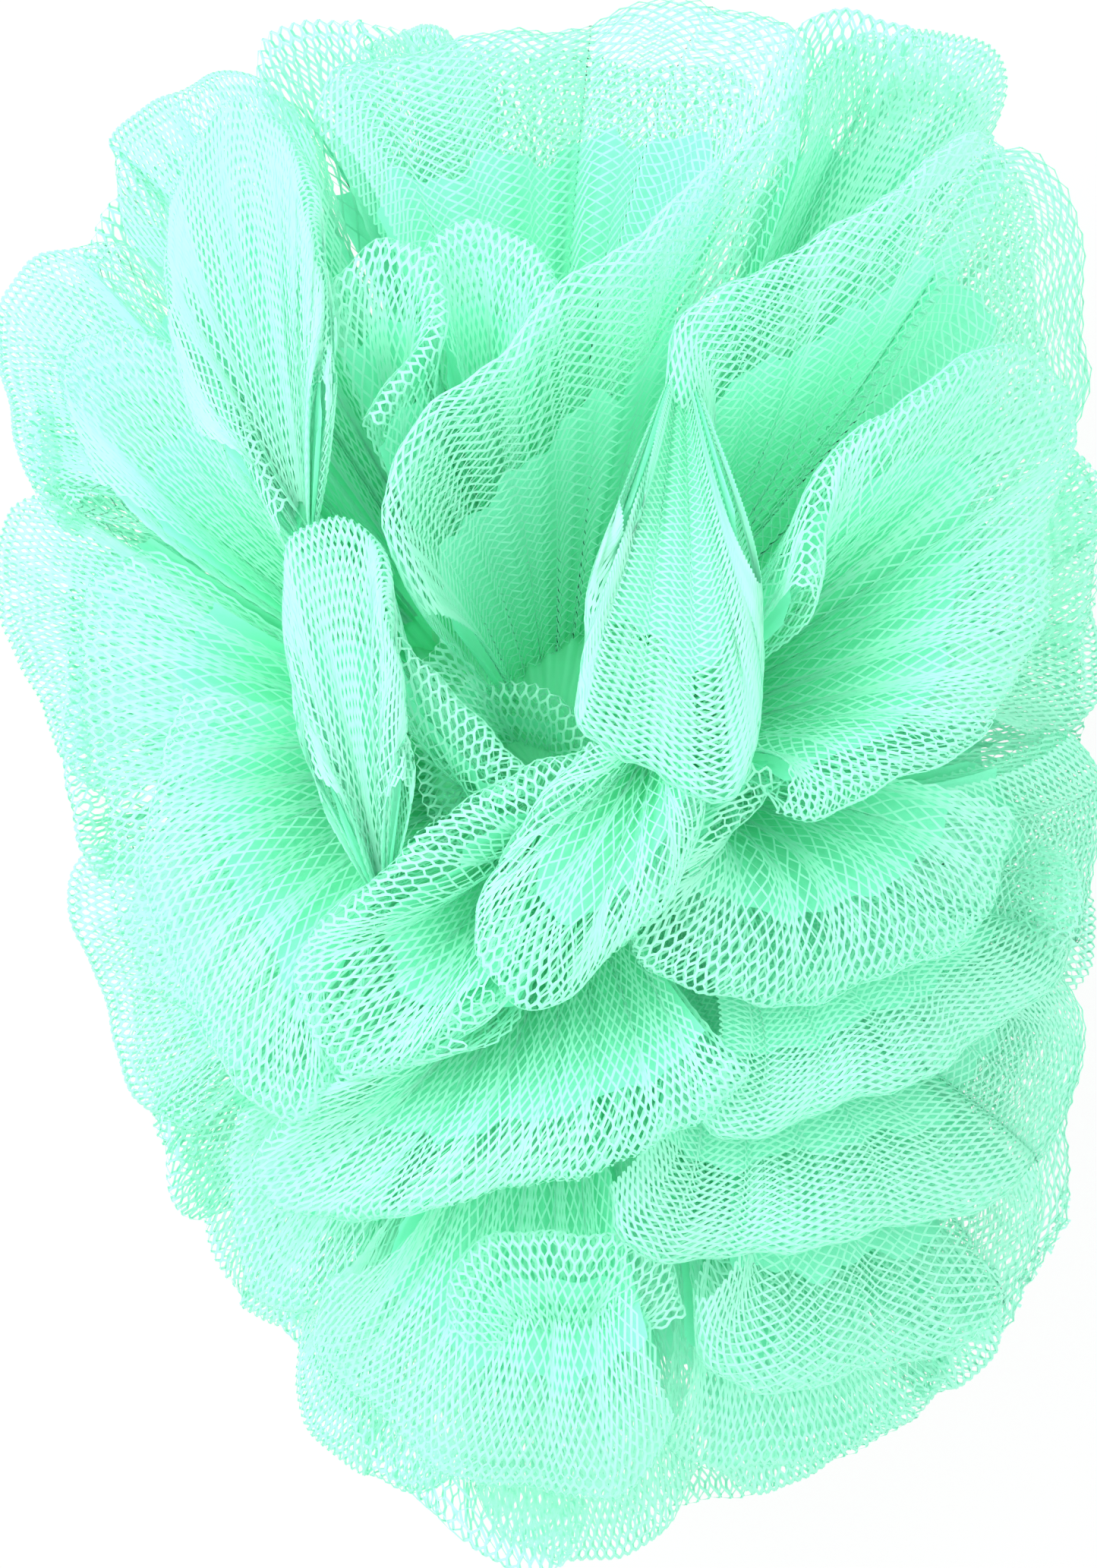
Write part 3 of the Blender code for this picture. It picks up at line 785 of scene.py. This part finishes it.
def net_material(name, pale, shaded):
    """Thin mint plastic that lets light through, pale where it lies open, with painted shade that makes it
    darker and greener towards its gathers.
    """
    material, tree, output = new_material(name)
    place = tree.nodes.new("ShaderNodeTexCoord")
    cloud = tree.nodes.new("ShaderNodeTexNoise")
    cloud.inputs["Scale"].default_value = CLOUD_SCALE
    cloud.inputs["Detail"].default_value = CLOUD_DETAIL
    tree.links.new(place.outputs["Object"], cloud.inputs["Vector"])
    painted_lightness = tree.nodes.new("ShaderNodeAttribute")
    painted_lightness.attribute_name = "painted_lightness"
    lightness_and_drift = tree.nodes.new("ShaderNodeMath")
    lightness_and_drift.operation = "MULTIPLY_ADD"
    lightness_and_drift.inputs[1].default_value = CLOUD_SHARE
    tree.links.new(cloud.outputs["Fac"], lightness_and_drift.inputs[0])
    tree.links.new(painted_lightness.outputs["Fac"], lightness_and_drift.inputs[2])
    # Painted shade: the colour runs from the shaded mint at the gathers to the pale mint at the crest
    ramp = tree.nodes.new("ShaderNodeValToRGB")
    ramp.color_ramp.elements[0].position = SHADE_RAMP_ENDS[0]
    ramp.color_ramp.elements[0].color = (*shaded, 1.0)
    ramp.color_ramp.elements[1].position = SHADE_RAMP_ENDS[1]
    ramp.color_ramp.elements[1].color = (*pale, 1.0)
    tree.links.new(lightness_and_drift.outputs["Value"], ramp.inputs["Fac"])
    grain = tree.nodes.new("ShaderNodeTexNoise")
    grain.inputs["Scale"].default_value = GRAIN_SCALE
    tree.links.new(place.outputs["Object"], grain.inputs["Vector"])
    bump = tree.nodes.new("ShaderNodeBump")
    bump.inputs["Strength"].default_value = GRAIN_STRENGTH
    bump.inputs["Distance"].default_value = GRAIN_DEPTH
    tree.links.new(grain.outputs["Fac"], bump.inputs["Height"])
    plastic = tree.nodes.new("ShaderNodeBsdfPrincipled")
    plastic.inputs["Roughness"].default_value = NET_ROUGHNESS
    plastic.inputs["IOR"].default_value = PLASTIC_IOR
    plastic.inputs["Specular IOR Level"].default_value = NET_SPECULAR
    tree.links.new(ramp.outputs["Color"], plastic.inputs["Base Color"])
    tree.links.new(bump.outputs["Normal"], plastic.inputs["Normal"])
    passing = tree.nodes.new("ShaderNodeBsdfTranslucent")
    tree.links.new(ramp.outputs["Color"], passing.inputs["Color"])
    mix = tree.nodes.new("ShaderNodeMixShader")
    mix.inputs["Fac"].default_value = LIGHT_PASSING
    tree.links.new(plastic.outputs["BSDF"], mix.inputs[1])
    tree.links.new(passing.outputs["BSDF"], mix.inputs[2])
    tree.links.new(mix.outputs["Shader"], output.inputs["Surface"])
    return material


def tie_material():
    """White twisted cord, with slanting strands."""
    material, tree, output = new_material("white_tie_cord")
    place = tree.nodes.new("ShaderNodeTexCoord")
    strands = tree.nodes.new("ShaderNodeTexWave")
    strands.bands_direction = "DIAGONAL"
    strands.inputs["Scale"].default_value = STRAND_SCALE
    strands.inputs["Distortion"].default_value = STRAND_DISTORTION
    tree.links.new(place.outputs["Object"], strands.inputs["Vector"])
    tint = tree.nodes.new("ShaderNodeValToRGB")
    tint.color_ramp.elements[0].color = (*TIE_SHADE, 1.0)
    tint.color_ramp.elements[1].color = (*TIE_WHITE, 1.0)
    tree.links.new(strands.outputs["Fac"], tint.inputs["Fac"])
    bump = tree.nodes.new("ShaderNodeBump")
    bump.inputs["Strength"].default_value = STRAND_STRENGTH
    bump.inputs["Distance"].default_value = STRAND_DEPTH
    tree.links.new(strands.outputs["Fac"], bump.inputs["Height"])
    fibre = tree.nodes.new("ShaderNodeBsdfPrincipled")
    fibre.inputs["Roughness"].default_value = TIE_ROUGHNESS
    tree.links.new(tint.outputs["Color"], fibre.inputs["Base Color"])
    tree.links.new(bump.outputs["Normal"], fibre.inputs["Normal"])
    tree.links.new(fibre.outputs["BSDF"], output.inputs["Surface"])
    return material


def floor_material():
    """A plain white floor that keeps a faint shadow."""
    material, tree, output = new_material("white_floor")
    path = tree.nodes.new("ShaderNodeLightPath")
    paint = tree.nodes.new("ShaderNodeBsdfDiffuse")
    paint.inputs["Color"].default_value = (FLOOR_GREY, FLOOR_GREY, FLOOR_GREY, 1.0)
    white = tree.nodes.new("ShaderNodeEmission")
    white.inputs["Color"].default_value = (1.0, 1.0, 1.0, 1.0)
    share = tree.nodes.new("ShaderNodeMath")
    share.operation = "MULTIPLY"
    share.inputs[1].default_value = FLOOR_WHITE
    tree.links.new(path.outputs["Is Camera Ray"], share.inputs[0])
    mix = tree.nodes.new("ShaderNodeMixShader")
    tree.links.new(share.outputs["Value"], mix.inputs["Fac"])
    tree.links.new(paint.outputs["BSDF"], mix.inputs[1])
    tree.links.new(white.outputs["Emission"], mix.inputs[2])
    tree.links.new(mix.outputs["Shader"], output.inputs["Surface"])
    return material


def add_floor():
    """The floor that the pouf lies on."""
    half = FLOOR_SIZE * 0.5
    corners = np.array([(-half, -half, 0), (half, -half, 0), (half, half, 0), (-half, half, 0)])
    floor = add_mesh("floor", corners, np.array([(0, 1, 2, 3)]))
    floor.location.z = -FLOOR_DROP * MM
    floor.data.materials.append(floor_material())


def add_light(name, place, size, power):
    """A soft square lamp that faces the middle of the pouf; place and size in metres."""
    lamp = bpy.data.lights.new(name, "AREA")
    lamp.size = size
    lamp.energy = power
    thing = bpy.data.objects.new(name, lamp)
    thing.location = place
    aim = Vector((0.0, 0.0, WAIST_HEIGHT * MM)) - Vector(place)
    thing.rotation_euler = aim.to_track_quat("-Z", "Y").to_euler()
    bpy.context.scene.collection.objects.link(thing)


def add_studio():
    """An even white surround with one large soft lamp from the upper left."""
    world = bpy.data.worlds.new("surround")
    bpy.context.scene.world = world
    world.use_nodes = True
    tree = world.node_tree
    tree.nodes.clear()
    output = tree.nodes.new("ShaderNodeOutputWorld")
    path = tree.nodes.new("ShaderNodeLightPath")
    lighting = tree.nodes.new("ShaderNodeBackground")
    lighting.inputs["Strength"].default_value = WORLD_STRENGTH
    backdrop = tree.nodes.new("ShaderNodeBackground")
    backdrop.inputs["Color"].default_value = (1.0, 1.0, 1.0, 1.0)
    lighting.inputs["Color"].default_value = (1.0, 1.0, 1.0, 1.0)
    mix = tree.nodes.new("ShaderNodeMixShader")
    tree.links.new(path.outputs["Is Camera Ray"], mix.inputs["Fac"])
    tree.links.new(lighting.outputs["Background"], mix.inputs[1])
    tree.links.new(backdrop.outputs["Background"], mix.inputs[2])
    tree.links.new(mix.outputs["Shader"], output.inputs["Surface"])
    add_light("key", KEY_PLACE, KEY_SIZE, KEY_POWER)
    bpy.context.scene.view_settings.view_transform = "Standard"
    bpy.context.scene.cycles.max_bounces = LIGHT_BOUNCES


def add_camera():
    """The camera over the pouf, as the photograph looks at it."""
    data = bpy.data.cameras.new("camera")
    camera = bpy.data.objects.new("camera", data)
    bpy.context.scene.collection.objects.link(camera)
    bpy.context.scene.camera = camera
    camera.location = (0.0, 0.0, CAMERA_HEIGHT)
    data.sensor_fit = "VERTICAL"
    data.sensor_height = SENSOR_HEIGHT
    data.lens = SENSOR_HEIGHT * (CAMERA_HEIGHT - FRAMED_HEIGHT * MM) / (FRAMED_LENGTH * MM)


def main():
    """The pouf, the floor, the lamp and the camera."""
    ruffles = upper_ruffles() + under_ruffles()
    # The threads are painted in shade towards their gathers
    mint = net_material("mint_net_threads_painted_shade", PALE_MINT, THREAD_SHADE_MINT)
    for index, parts in enumerate(net_pieces(ruffles)):
        piece = add_mesh(f"net_threads_{index + 1}", *parts)
        piece.data.materials.append(mint)
        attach(piece, "root")
    inner = add_mesh("net_inner_layers", *lining(ruffles))
    # The deep layers are painted in shade, darker towards their roots
    inner.data.materials.append(net_material("mint_net_layers_painted_shade", LAYER_SHADE_MINT, DEEP_SHADE_MINT))
    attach(inner, "root")
    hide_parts("net")
    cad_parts["waist_tie"].data.materials[0] = tie_material()
    add_floor()
    add_studio()
    add_camera()


main()
